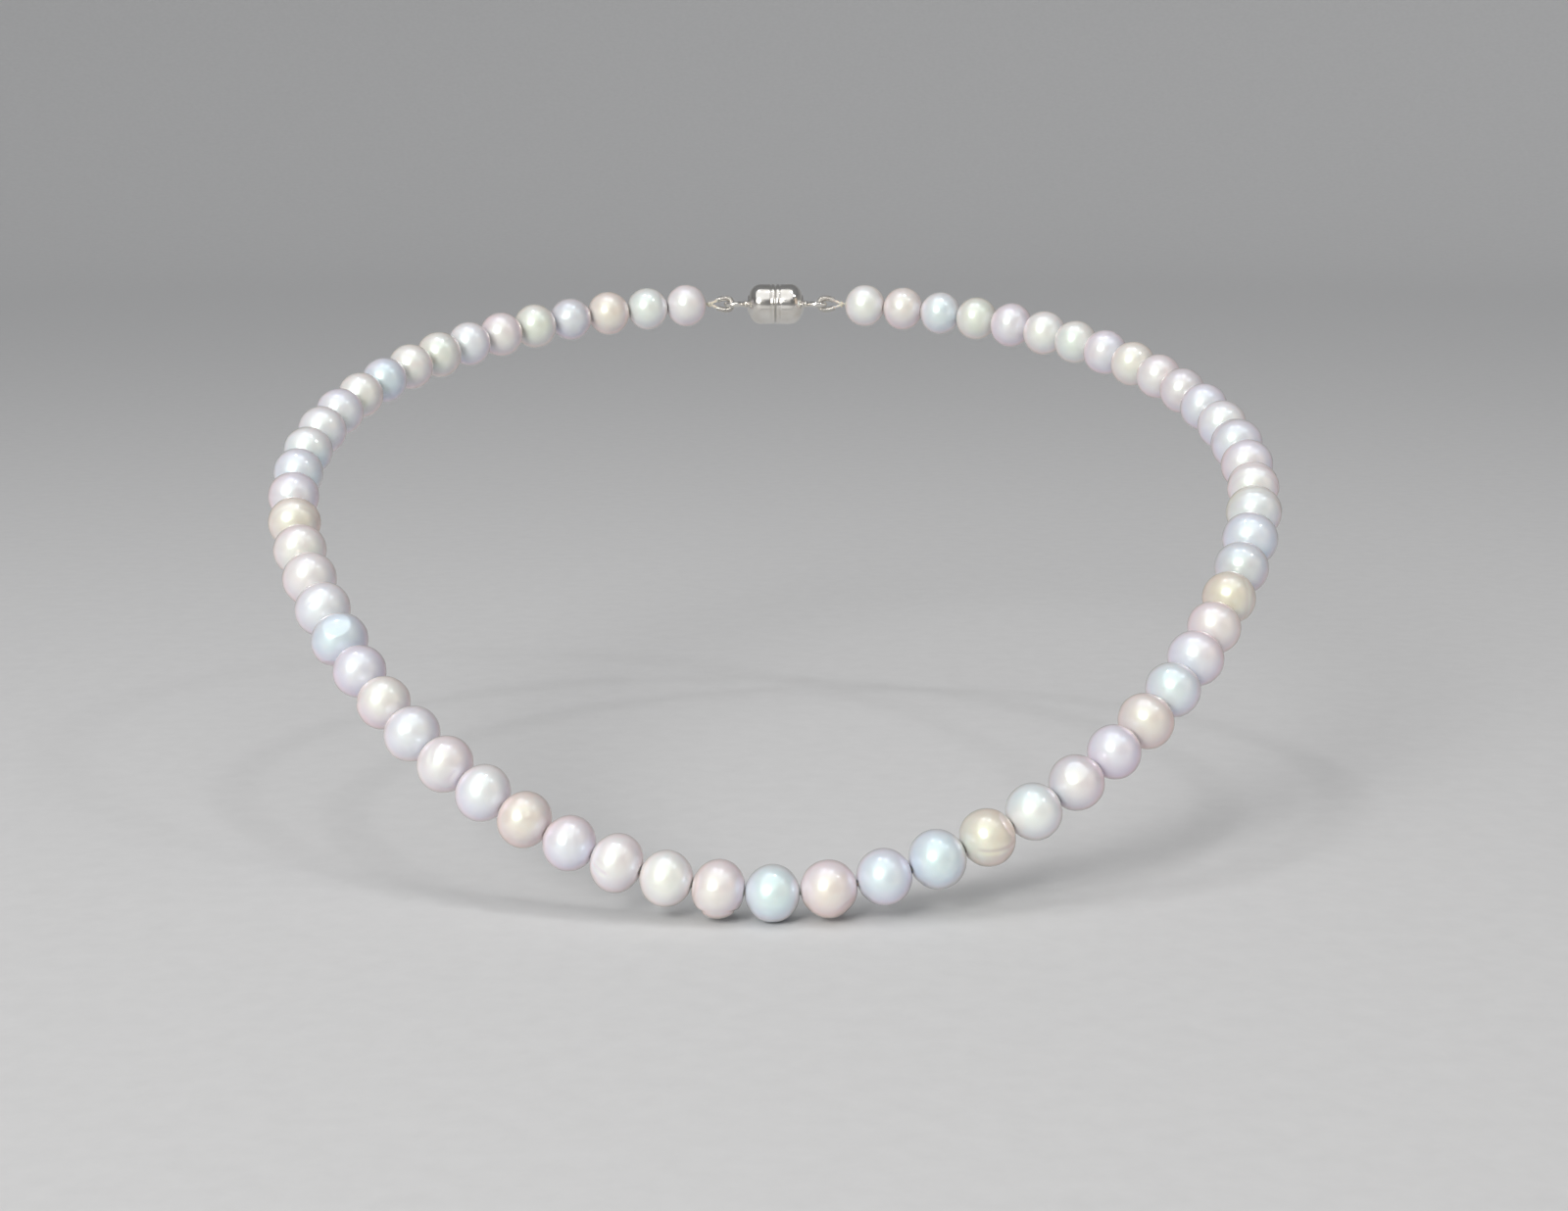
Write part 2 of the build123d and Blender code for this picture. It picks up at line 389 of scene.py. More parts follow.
# What stands out on single pearls, in each one's local frame: X into the loop, Y to the viewer,
# Z to the right along the thread
MARKS = {
    "pearl_left_01": [
        (cap, unit(-0.99, 0.0, 0.12), 0.70, 0.09, 0.036),
        (pit, unit(-0.82, 0.1, -0.56), 0.16, 0.055),
        (ring, unit(-1, 0.0, 0.05), 1.28, 0.035, 0.0045),
        (ring, unit(-1, 0.0, 0.05), 1.39, 0.035, 0.0055),
        (flat, unit(0.0, 0.45, -0.9), 0.45, 0.4),
    ],
    "pearl_left_02": [(crease, unit(-0.38, 0.9, -0.5), unit(-0.38, 0.8, 0.5), 0.05, 0.006)],
    "pearl_left_03": [
        (crease, unit(-0.28, 0.68, -0.68), unit(-0.52, 0.85, 0.08), 0.065, 0.030),
        (crease, unit(-0.05, 0.75, -0.65), unit(-0.35, 0.93, -0.05), 0.07, 0.008),
        (flat, unit(-0.8, 0.3, -0.5), 0.4, 0.2),
    ],
    "pearl_left_04": [(ring, unit(0.4, 0.1, 0.9), 1.2, 0.09, 0.006)],
    "pearl_left_05": [
        (pit, unit(-0.3, 0.9, -0.3), 0.16, 0.014),
        (pit, unit(0.25, 0.92, 0.3), 0.12, 0.010),
        (pit, unit(-0.55, 0.75, 0.35), 0.10, 0.012),
        (crease, unit(0.5, 0.8, -0.3), unit(0.1, 0.9, 0.4), 0.08, 0.010),
    ],
    "pearl_left_07": [
        (crease, unit(0.3, 0.9, -0.35), unit(-0.4, 0.9, 0.1), 0.09, 0.014),
        (flat, unit(-0.3, 0.5, 0.8), 0.45, 0.4),
    ],
    "pearl_left_08": [(ring, unit(0.8, 0.1, 0.6), 1.3, 0.10, 0.008)],
    "pearl_left_09": [(ring, unit(-0.7, 0.2, 0.7), 1.25, 0.08, 0.009)],
    "pearl_left_11": [(flat, unit(0.2, 0.97, 0.15), 0.5, 0.55), (flat, unit(-0.6, -0.4, 0.6), 0.5, 0.5)],
    "pearl_left_12": [(crease, unit(-0.5, 0.8, 0.3), unit(-0.1, 0.95, 0.3), 0.08, 0.010)],
    "pearl_left_15": [(ring, unit(0, 0.1, 1), 1.15, 0.08, 0.010), (ring, unit(0, 0.1, 1), 1.85, 0.08, 0.008)],
    "pearl_front": [
        (crease, unit(-0.25, 0.8, -0.6), unit(-0.3, 0.9, 0.35), 0.045, 0.008),
        (pit, unit(-0.6, 0.75, -0.2), 0.09, 0.008),
    ],
    "pearl_right_01": [(flat, unit(-0.8, 0.3, 0.5), 0.5, 0.35)],
    "pearl_right_03": [
        (ring, unit(0.9, 0.2, -0.3), 1.9, 0.12, 0.006),
        (pit, unit(-0.7, 0.6, 0.3), 0.09, 0.010),
    ],
    "pearl_right_04": [
        (crease, unit(-0.22, 0.55, -0.85), unit(-0.55, 0.45, 0.75), 0.08, 0.026),
        (flat, unit(0.1, 0.6, 0.8), 0.5, 0.5),
    ],
    "pearl_right_06": [(pit, unit(-0.35, 0.85, 0.35), 0.10, 0.010), (flat, unit(0.3, 0.9, -0.2), 0.4, 0.3)],
    "pearl_right_08": [
        (pit, unit(0.45, 0.85, -0.1), 0.13, 0.012),
        (pit, unit(0.5, 0.7, 0.45), 0.11, 0.010),
    ],
    "pearl_right_09": [(pit, unit(0.1, 0.8, 0.6), 0.12, 0.013), (pit, unit(-0.7, 0.6, 0.2), 0.12, 0.010)],
    "pearl_right_12": [(ring, unit(-0.8, 0.1, 0.55), 1.15, 0.07, 0.012)],
    "pearl_right_15": [(ring, unit(0.1, 0, 1), 1.25, 0.09, 0.016), (ring, unit(0.1, 0, 1), 1.7, 0.07, 0.008)],
    "pearl_right_16": [(ring, unit(0, 0.1, 1), 1.45, 0.10, 0.014), (ring, unit(0, 0.1, 1), 1.9, 0.08, 0.009)],
    "pearl_right_18": [
        (ring, unit(0.2, 0.1, 1), 1.35, 0.08, 0.010),
        (pit, unit(0.3, 0.7, -0.6), 0.12, 0.010),
    ],
}


def random_unit(draw):
    z, a = draw.uniform(-1, 1), draw.uniform(0, 2 * math.pi)
    flat_part = math.sqrt(1 - z * z)
    return np.array((flat_part * math.cos(a), flat_part * math.sin(a), z))


def loss(u, marks, draw):
    """How far in from the CAD pearl's surface the real one lies in each direction, as a share."""
    total = np.zeros(len(u))
    for frequency, amount in ((1.6, 0.010), (2.3, 0.008), (3.6, 0.0045), (5.5, 0.0022)):
        phase, direction = draw.uniform(0, 2 * math.pi), random_unit(draw)
        total += amount * 0.5 * (1 - np.cos(frequency * (u @ direction) * 2 + phase))
    for _ in range(draw.randint(2, 5)):
        total += pit(u, random_unit(draw), draw.uniform(0.05, 0.10), draw.uniform(0.002, 0.006))
    if draw.random() < 0.5:
        total += ring(u, random_unit(draw), draw.uniform(0.7, 1.5), draw.uniform(0.07, 0.12), 0.004)
    for shape, *values in marks:
        total += shape(u, *values)
    beside_drill = smooth(0.82, 0.97, np.abs(u[:, 2]))
    return np.clip(total, 0, None) * (1 - beside_drill)


def pearl_piece(name, place, draw):
    """A drilled pearl, a little uneven, that nowhere stands outside its CAD solid."""
    arc_centre = place.across - place.bend
    first = math.acos((DRILL_RADIUS + RIM_ROUND - arc_centre) / place.bend)
    latitude = np.linspace(first, -first, PEARL_ROWS)
    turn = np.linspace(0, 2 * math.pi, PEARL_SIDES, endpoint=False)
    t, f = np.meshgrid(latitude, turn, indexing="ij")
    radius = arc_centre + place.bend * np.cos(t)
    points = np.stack((radius * np.cos(f), radius * np.sin(f), place.bend * np.sin(t)), -1).reshape(-1, 3)
    u = points / np.linalg.norm(points, axis=1)[:, None]
    points *= (1 - loss(u, MARKS.get(place.node, []), draw))[:, None]
    rows = [points]
    rim_height = place.bend * math.sin(first)
    # From the far rim back to the near one through the drill hole
    inside = []
    for share in (0.35, 0.75, 1.0):
        radius = DRILL_RADIUS + RIM_ROUND * (1 - share) ** 1.5
        inside.append((radius, -(rim_height - RIM_ROUND * share * 0.8)))
    for height in np.linspace(-0.9, 0.9, BORE_ROWS):
        inside.append((DRILL_RADIUS, height * rim_height * 0.95))
    for share in (1.0, 0.75, 0.35):
        radius = DRILL_RADIUS + RIM_ROUND * (1 - share) ** 1.5
        inside.append((radius, rim_height - RIM_ROUND * share * 0.8))
    for radius, height in inside:
        level = np.full(PEARL_SIDES, height)
        rows.append(np.stack((radius * np.cos(turn), radius * np.sin(turn), level), -1))
    points = np.concatenate(rows) @ np.array(place.axes).T
    faces = [face[::-1] for face in wrapped_rows(len(points) // PEARL_SIDES, PEARL_SIDES, True)]
    return new_object(name, points, faces, Matrix.Translation(place.centre))


# ---------------------------------------------------------------- materials
def rgb(red, green, blue):
    """A colour as the eye rates it, from 0 to 1, as the shader's linear colour."""
    linear = [c / 12.92 if c <= 0.04045 else ((c + 0.055) / 1.055) ** 2.4 for c in (red, green, blue)]
    return (*linear, 1.0)


def new_material(name):
    material = bpy.data.materials.new(name)
    material.use_nodes = True
    tree = material.node_tree
    return material, tree, tree.nodes["Principled BSDF"]


def node(tree, kind, **values):
    """A new node with the given properties or inputs."""
    made = tree.nodes.new(kind)
    for key, value in values.items():
        if hasattr(made, key):
            setattr(made, key, value)
        else:
            made.inputs[key.replace("_", " ")].default_value = value
    return made


def own_coordinates(tree, offset, stretch=(1, 1, 1)):
    """The piece's own coordinates, moved so that no two pieces share a pattern."""
    coordinates = node(tree, "ShaderNodeTexCoord")
    mapping = node(tree, "ShaderNodeMapping", Location=offset, Scale=stretch)
    tree.links.new(coordinates.outputs["Object"], mapping.inputs["Vector"])
    return coordinates.outputs["Object"], mapping.outputs["Vector"]


def noise(tree, vector, scale, detail=3.0, roughness=0.5, distortion=0.0):
    made = node(
        tree, "ShaderNodeTexNoise", Scale=scale, Detail=detail, Roughness=roughness, Distortion=distortion
    )
    tree.links.new(vector, made.inputs["Vector"])
    return made.outputs["Fac"]


def ranged(tree, value, low, high, to_low, to_high):
    made = node(tree, "ShaderNodeMapRange")
    for name, number in (("From Min", low), ("From Max", high), ("To Min", to_low), ("To Max", to_high)):
        made.inputs[name].default_value = number
    tree.links.new(value, made.inputs["Value"])
    return made.outputs["Result"]


def maths(tree, operation, a, b):
    made = node(tree, "ShaderNodeMath", operation=operation)
    for socket, value in zip(made.inputs, (a, b)):
        if isinstance(value, (int, float)):
            socket.default_value = value
        else:
            tree.links.new(value, socket)
    return made.outputs["Value"]


def mixed(tree, factor, first, second):
    """Two colours mixed by a value. Each is a colour or another node's output."""
    made = node(tree, "ShaderNodeMix", data_type="RGBA")
    tree.links.new(factor, made.inputs["Factor"])
    for name, colour in (("A", first), ("B", second)):
        socket = next(s for s in made.inputs if s.name == name and s.type == "RGBA")
        if isinstance(colour, tuple):
            socket.default_value = colour
        else:
            tree.links.new(colour, socket)
    return next(s for s in made.outputs if s.type == "RGBA")


def bumped(tree, shader, *layers):
    """Stacks bumps on a shader: (height, how far it stands in metres, strength)."""
    before = None
    for height, distance, strength in layers:
        made = node(tree, "ShaderNodeBump", Strength=strength, Distance=distance)
        tree.links.new(height, made.inputs["Height"])
        if before is not None:
            tree.links.new(before, made.inputs["Normal"])
        before = made.outputs["Normal"]
    tree.links.new(before, shader.inputs["Normal"])


TYPICAL_RADIUS = 3.6 * MM
TINTS = {
    "white": rgb(0.925, 0.918, 0.905),
    "ivory": rgb(0.925, 0.912, 0.880),
    "cream": rgb(0.920, 0.892, 0.850),
    "beige": rgb(0.895, 0.860, 0.832),
    "gold": rgb(0.890, 0.846, 0.775),
    "peach": rgb(0.918, 0.858, 0.812),
    "rose": rgb(0.912, 0.866, 0.868),
    "mauve": rgb(0.890, 0.852, 0.884),
    "lavender": rgb(0.888, 0.880, 0.910),
    "grey": rgb(0.845, 0.840, 0.846),
    "sky": rgb(0.838, 0.878, 0.902),
    "aqua": rgb(0.850, 0.896, 0.896),
    "mint": rgb(0.886, 0.908, 0.880),
    "sage": rgb(0.878, 0.886, 0.830),
}

# Each pearl's body colour, overtone and the side of it, in its local frame, that the overtone leans to.
# The lists run from the front pearl to the nape.
FRONT_TINT = ("sky", "aqua", (0.2, 0.6, 0.4))
LEFT_TINTS = [
    ("beige", "rose", (0.5, 0.2, 0.3)),
    ("white", "ivory", (-0.4, 0.3, 0)),
    ("white", "rose", (0.2, 0.2, 0.4)),
    ("rose", "lavender", (-0.4, 0.3, 0.4)),
    ("beige", "peach", (-0.3, 0.5, -0.4)),
    ("lavender", "white", (0.4, 0.1, 0)),
    ("white", "rose", (0.3, 0.3, 0.3)),
    ("white", "lavender", (0.3, 0.4, 0)),
    ("rose", "ivory", (0.5, 0.2, -0.2)),
    ("mauve", "lavender", (0.2, 0.3, 0.4)),
    ("mauve", "sky", (0.1, 0.9, 0.2)),
    ("white", "lavender", (-0.2, 0.4, 0.2)),
    ("white", "rose", (-0.2, 0.4, 0.3)),
    ("ivory", "rose", (0, 0.5, -0.3)),
    ("gold", "cream", (-0.2, 0.5, 0.2)),
    ("rose", "lavender", (0.3, 0.5, 0)),
    ("aqua", "lavender", (-0.3, 0.4, 0.3)),
    ("sky", "white", (-0.2, 0.5, 0)),
    ("lavender", "white", (-0.2, 0.3, 0)),
    ("lavender", "white", (0.3, 0.2, 0.3)),
    ("white", "cream", (0.2, 0.3, 0)),
    ("lavender", "sky", (0, 0.4, 0.3)),
    ("ivory", "rose", (0.3, 0, 0)),
    ("cream", "mint", (0, 0.3, 0.3)),
    ("white", "lavender", (0.2, 0.3, 0)),
    ("rose", "ivory", (0.3, 0.1, 0)),
    ("ivory", "sage", (0, 0.3, 0.2)),
    ("grey", "lavender", (0.3, 0, 0.3)),
    ("cream", "peach", (0, 0.3, 0)),
    ("mint", "white", (0.2, 0.2, 0)),
    ("white", "rose", (0, 0.3, 0.2)),
]
RIGHT_TINTS = [
    ("rose", "peach", (-0.9, 0.1, 0)),
    ("lavender", "sky", (0.2, 0.4, -0.3)),
    ("sky", "aqua", (-0.4, 0, 0.3)),
    ("gold", "sage", (0.2, -0.2, -0.6)),
    ("aqua", "white", (0, 0.5, -0.3)),
    ("grey", "rose", (-0.2, 0.4, 0.3)),
    ("mauve", "lavender", (0.3, 0.4, 0)),
    ("peach", "beige", (0.4, 0.4, -0.3)),
    ("lavender", "aqua", (0.2, 0.2, 0)),
    ("lavender", "rose", (-0.3, 0.3, 0.4)),
    ("rose", "cream", (-0.4, 0.2, 0.2)),
    ("gold", "sage", (-0.5, 0, 0.3)),
    ("grey", "sky", (0.1, 0.2, 0.9)),
    ("sky", "lavender", (0.4, 0.1, -0.4)),
    ("sage", "lavender", (-0.2, 0, -0.5)),
    ("rose", "white", (0.2, 0.3, -0.4)),
    ("lavender", "rose", (0.4, 0.2, -0.2)),
    ("lavender", "grey", (0, 0.3, 0.3)),
    ("lavender", "white", (-0.3, 0.1, 0)),
    ("lavender", "grey", (0.2, 0, 0.3)),
    ("grey", "rose", (0.2, 0.4, 0)),
    ("rose", "white", (0, 0.3, 0.2)),
    ("cream", "ivory", (0.3, 0, 0)),
    ("lavender", "rose", (0, 0.3, 0.2)),
    ("ivory", "mint", (0.2, 0.2, 0)),
    ("white", "cream", (0.3, 0, 0.2)),
    ("rose", "lavender", (0, 0.3, 0)),
    ("sage", "ivory", (0.2, 0.2, 0.2)),
    ("white", "sky", (0, 0.3, 0)),
    ("cream", "rose", (0.3, 0.2, 0)),
    ("ivory", "white", (0, 0.2, 0.2)),
]
MOTTLED = {"pearl_left_05": 0.5, "pearl_right_04": 0.25, "pearl_right_12": 0.2}


def nacre(name, body, overtone, lean, mottle, offset):
    """Pearl nacre: a body colour with an overtone in soft patches, a satin sheen and a clear gloss.

    The overtone leans to one side of the pearl, given in the row's axes."""
    material, tree, shader = new_material(name)
    own, moved = own_coordinates(tree, offset)
    patches = noise(tree, moved, 190, 2.0, 0.45, 0.6)
    side = node(tree, "ShaderNodeVectorMath", operation="DOT_PRODUCT")
    tree.links.new(own, side.inputs[0])
    side.inputs[1].default_value = tuple(x / TYPICAL_RADIUS for x in lean)
    factor = maths(tree, "ADD", maths(tree, "MULTIPLY", side.outputs["Value"], 0.55), patches)
    factor = ranged(tree, factor, 0.30, 0.85, 0.0, 0.9)
    colour = mixed(tree, factor, TINTS[body], TINTS[overtone])
    # The nacre is thinner and paler here and there, and a mottled pearl shows warmer spots
    veil = ranged(tree, noise(tree, moved, 620, 4.0, 0.6), 0.45, 0.8, 0.0, 0.35)
    colour = mixed(tree, veil, colour, TINTS["white"])
    if mottle:
        spots = ranged(tree, noise(tree, moved, 480, 3.0, 0.55, 1.2), 0.52, 0.66, 0.0, mottle)
        colour = mixed(tree, spots, colour, TINTS["peach"])
    tree.links.new(colour, shader.inputs["Base Color"])
    tree.links.new(
        ranged(tree, noise(tree, moved, 900, 3.0), 0.3, 0.7, 0.29, 0.37), shader.inputs["Roughness"]
    )
    shader.inputs["Metallic"].default_value = 0.2
    shader.inputs["IOR"].default_value = 1.66
    shader.inputs["Specular IOR Level"].default_value = 0.8
    shader.inputs["Subsurface Weight"].default_value = 0.22
    shader.inputs["Subsurface Radius"].default_value = (1.0, 0.75, 0.65)
    shader.inputs["Subsurface Scale"].default_value = 0.9 * MM
    shader.inputs["Coat Weight"].default_value = 1.0
    shader.inputs["Coat Roughness"].default_value = 0.05
    shader.inputs["Coat IOR"].default_value = 1.6
    shader.inputs["Thin Film Thickness"].default_value = 390.0
    shader.inputs["Thin Film IOR"].default_value = 1.35
    bumped(
        tree, shader,
        (noise(tree, moved, 1100, 3.0, 0.5), 0.02 * MM, 0.5),
        (noise(tree, moved, 5200, 2.0, 0.5), 0.003 * MM, 0.4),
    )
    return material


def silk(name):
    """Twisted silk: fine filaments along the plies, soft and a little uneven."""
    material, tree, shader = new_material(name)
    _, moved = own_coordinates(tree, (0.1, 0.2, 0.3))
    fibres = noise(tree, moved, 9000, 4.0, 0.7, 1.5)
    shadow, lit = rgb(0.80, 0.77, 0.70), rgb(0.94, 0.92, 0.87)
    colour = mixed(tree, ranged(tree, fibres, 0.35, 0.7, 0.0, 1.0), shadow, lit)
    tree.links.new(colour, shader.inputs["Base Color"])
    tree.links.new(ranged(tree, fibres, 0.3, 0.7, 0.55, 0.75), shader.inputs["Roughness"])
    shader.inputs["Sheen Weight"].default_value = 0.4
    shader.inputs["Sheen Roughness"].default_value = 0.4
    shader.inputs["Subsurface Weight"].default_value = 0.15
    shader.inputs["Subsurface Scale"].default_value = 0.2 * MM
    bumped(tree, shader, (fibres, 0.02 * MM, 0.7))
    return material


def metal(name, light, dark, roughness, brushed):
    """Polished or plated metal with a faint clouding, fine scratches and a little tarnish."""
    material, tree, shader = new_material(name)
    _, moved = own_coordinates(tree, (0.4, 0.1, 0.2))
    _, drawn_out = own_coordinates(tree, (0.2, 0.5, 0.1), brushed)
    cloud = noise(tree, moved, 420, 4.0, 0.6)
    scratches = noise(tree, drawn_out, 6500, 3.0, 0.6)
    colour = mixed(tree, ranged(tree, cloud, 0.42, 0.75, 0.0, 0.8), light, dark)
    tree.links.new(colour, shader.inputs["Base Color"])
    rough = ranged(tree, maths(tree, "ADD", cloud, scratches), 0.7, 1.3, roughness * 0.7, roughness * 1.5)
    tree.links.new(rough, shader.inputs["Roughness"])
    shader.inputs["Metallic"].default_value = 1.0
    bumped(tree, shader, (scratches, 0.004 * MM, 0.35), (cloud, 0.01 * MM, 0.25))
    return material


# ---------------------------------------------------------------- pearls: pieces
def make_pearls(all_places):
    draw = random.Random(1893)
    front = next(i for i, place in enumerate(all_places) if place.node == FRONT)
    for i, place in enumerate(all_places):
        number = abs(i - front)
        if i < front:
            name, tint = f"nacre_left_{number:02d}", LEFT_TINTS[number - 1]
        elif i > front:
            name, tint = f"nacre_right_{number:02d}", RIGHT_TINTS[number - 1]
        else:
            name, tint = "nacre_front", FRONT_TINT
        offset = tuple(draw.uniform(-1, 1) for _ in range(3))
        piece = pearl_piece(name, place, draw)
        body, overtone, lean = tint
        mottle = MOTTLED.get(place.node, 0.0)
        material = nacre(name, body, overtone, place.axes @ Vector(lean), mottle, offset)
        finished(piece, place.body, "nacre", material, place.node)


# ---------------------------------------------------------------- silk thread
PLY_RADIUS = 0.125 * MM
PLY_OFFSET = 0.12 * MM
PLY_SIDES = 8
TWIST_PITCH = 1.3 * MM
THREAD_STEP = 0.12 * MM
THREAD_CURVE_STEPS = 12


def twisted(name, line):
    """Two plies of silk twisted round each other along a line."""
    points, faces = [], []
    even = evenly(line, THREAD_STEP)
    for start_angle in (0.0, math.pi):
        tube_mesh(coil_line(even, PLY_OFFSET, TWIST_PITCH, start_angle), PLY_RADIUS, PLY_SIDES, points, faces)
    return new_object(name, points, faces)


def make_thread(all_places, material):
    """The thread in one length for each body, so that it turns where the pearls do."""
    gaps = [(a.end + b.start) / 2 for a, b in zip(all_places, all_places[1:])]
    gaps = [2 * all_places[0].centre - gaps[0]] + gaps + [2 * all_places[-1].centre - gaps[-1]]
    start = 0
    while start < len(all_places):
        body = all_places[start].body
        stop = start
        while stop < len(all_places) and all_places[stop].body == body:
            stop += 1
        line = gaps[start:stop + 1]
        if len(line) > 2:
            line = spline_line(line, THREAD_CURVE_STEPS)
        piece = twisted("thread_" + body.replace("pearl_", ""), line)
        finished(piece, body, "silk", material, "silk_thread")
        start = stop
    return gaps[0], gaps[-1]


# ---------------------------------------------------------------- clasp, loops and knots
CUP_PROFILE = [
    (0.05, 2.96), (0.05, 3.22), (0.22, 3.40), (0.62, 3.40), (0.70, 3.30), (0.84, 3.30), (0.92, 3.40),
    (2.55, 3.40), (2.95, 3.36), (3.35, 3.22), (3.75, 2.95), (4.10, 2.58), (4.36, 2.14), (4.44, 1.90),
    (4.50, 1.62), (4.72, 1.46), (4.75, 1.28), (4.75, 0.62), (4.66, 0.55), (3.50, 0.55), (3.50, 1.40),
    (2.50, 1.40), (2.50, 2.92), (0.30, 2.92),
]
MAGNET_PROFILE = [(0.05, 0.0), (0.05, 2.72), (0.2, 2.88), (2.35, 2.88), (2.5, 2.74), (2.5, 0.0)]
SHANK_PROFILE = [
    (2.92, 0.0), (2.92, 0.95), (3.02, 1.08), (3.28, 1.08), (3.38, 0.95), (3.40, 0.52), (4.85, 0.5),
    (5.05, 0.62), (5.25, 0.62), (5.55, 0.42), (5.6, 0.0),
]
CUP_SEGMENTS = 144
CUP_EDGE = 0.06  # how far the corners of the cup and magnet are cut back
SHANK_SEGMENTS = 48
SHANK_EDGE = 0.05
FACE_GAP = 0.05 * MM  # from the clasp's middle plane to either cup
RING_CENTRE_X = 7.0
RING_RADIUS = 1.5
RING_WIRE = 0.4
RING_STEPS = 72
RING_SIDES = 24
LOOP_OUTLINE = [(11.0, 0.18), (9.3, 1.0), (7.5, 1.0), (7.5, -1.0), (9.3, -1.0), (11.0, -0.18)]
GIMP_OUTLINE = [(10.0, 0.65), (9.3, 1.0), (7.5, 1.0), (7.5, -1.0), (9.3, -1.0), (10.0, -0.65)]
GIMP_WIRE = 0.07 * MM
GIMP_COIL = 0.43 * MM
GIMP_PITCH = 0.17 * MM
GIMP_SIDES = 8
GIMP_STEPS = 18  # points to one turn of the coil
LOOP_STEPS = 24  # points to one run of the smooth line
KNOT_X = 11.3
KNOT_REACH = 0.2  # how far the thread's end runs into the knot
KNOT_SIZE = 0.115 * MM


def clasp_frame(side):
    """The clasp's face centre, with local X pointing from the face to the strand."""
    low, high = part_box(f"clasp_{side}_cup")
    middle = (low + high) / 2
    face = high.x + FACE_GAP if side == "left" else low.x - FACE_GAP
    turn = Matrix.Rotation(math.pi if side == "left" else 0, 4, "Z")
    return Matrix.Translation((face, middle.y, middle.z)) @ turn


def ringed_eye(name, matrix):
    """The wire ring, its neck and the headed shank that turns in the cup, as closed shells."""
    points, faces = [], []
    circle = [
        Vector((RING_CENTRE_X + RING_RADIUS * math.cos(a), RING_RADIUS * math.sin(a), 0)) * MM
        for a in np.linspace(0, 2 * math.pi, RING_STEPS, endpoint=False)
    ]
    for place in circle:
        outward = (place - Vector((RING_CENTRE_X * MM, 0, 0))).normalized()
        for j in range(RING_SIDES):
            a = 2 * math.pi * j / RING_SIDES
            points.append(place + RING_WIRE * MM * (math.cos(a) * outward + math.sin(a) * Vector((0, 0, 1))))
    faces.extend(wrapped_rows(len(circle), RING_SIDES, True))
    turned_shell(SHANK_PROFILE, SHANK_EDGE, SHANK_SEGMENTS, points, faces)
    return new_object(name, points, faces, matrix)


def disc(name, profile, matrix, segments):
    """A turned disc with closed middles."""
    points, faces = [], []
    turned_shell(profile, CUP_EDGE, segments, points, faces)
    return new_object(name, points, faces, matrix)


def make_clasp(side, strand_end, materials):
    """One clasp half with its eye, and the silk loop, gimp and knot that hold it."""
    matrix = clasp_frame(side)
    half, eye = f"clasp_{side}_half", f"clasp_{side}_eye"
    last = BODY_OF[f"pearls_{side}_nape_{NAPE_GROUPS}"]
    cup = lathed(f"cup_{side}", softened(CUP_PROFILE, CUP_EDGE), matrix, CUP_SEGMENTS)
    finished(cup, half, "clasp_silver", materials["silver"], f"clasp_{side}_cup")
    magnet = disc(f"magnet_{side}", MAGNET_PROFILE, matrix, CUP_SEGMENTS)
    finished(magnet, half, "magnet_nickel", materials["nickel"], f"clasp_{side}_magnet")
    ring_piece = ringed_eye(f"eye_{side}", matrix)
    finished(ring_piece, eye, "clasp_silver", materials["silver"], f"clasp_{side}_eye")

    def placed(outline):
        return [matrix @ (Vector((x, 0, z)) * MM) for x, z in outline]

    loop = twisted(f"loop_{side}", spline_line(placed(LOOP_OUTLINE), LOOP_STEPS))
    finished(loop, last, "silk", materials["silk"], "silk_thread")
    points, faces = [], []
    route = evenly(spline_line(placed(GIMP_OUTLINE), LOOP_STEPS), GIMP_PITCH / GIMP_STEPS)
    tube_mesh(coil_line(route, GIMP_COIL, GIMP_PITCH), GIMP_WIRE, GIMP_SIDES, points, faces)
    gimp = new_object(f"gimp_wire_{side}", points, faces)
    finished(gimp, last, "gimp_wire", materials["wire"], f"gimp_{side}")
    knot = knot_piece(f"knot_{side}", matrix @ (Vector((KNOT_X, 0, 0)) * MM))
    finished(knot, last, "silk", materials["silk"], "silk_thread")
    in_knot = matrix @ (Vector((KNOT_X - KNOT_REACH, 0, 0)) * MM)
    tail = twisted(f"thread_end_{side}", [strand_end, in_knot])
    finished(tail, last, "silk", materials["silk"], "silk_thread")


def knot_piece(name, middle):
    """A pulled-tight overhand knot: one strand that crosses itself three times."""
    line = []
    for t in np.linspace(0, 2 * math.pi, 90):
        across = math.sin(t) + 2 * math.sin(2 * t)
        up = math.cos(t) - 2 * math.cos(2 * t)
        line.append(middle + Vector((-1.1 * math.sin(3 * t), across, up)) * KNOT_SIZE)
    return twisted(name, line)


# ---------------------------------------------------------------- stage and light
STAGE_RADIUS = 2.8
STAGE_CURVE = 1.2
STAGE_TOP = 1.5
STAGE_SEGMENTS = 96


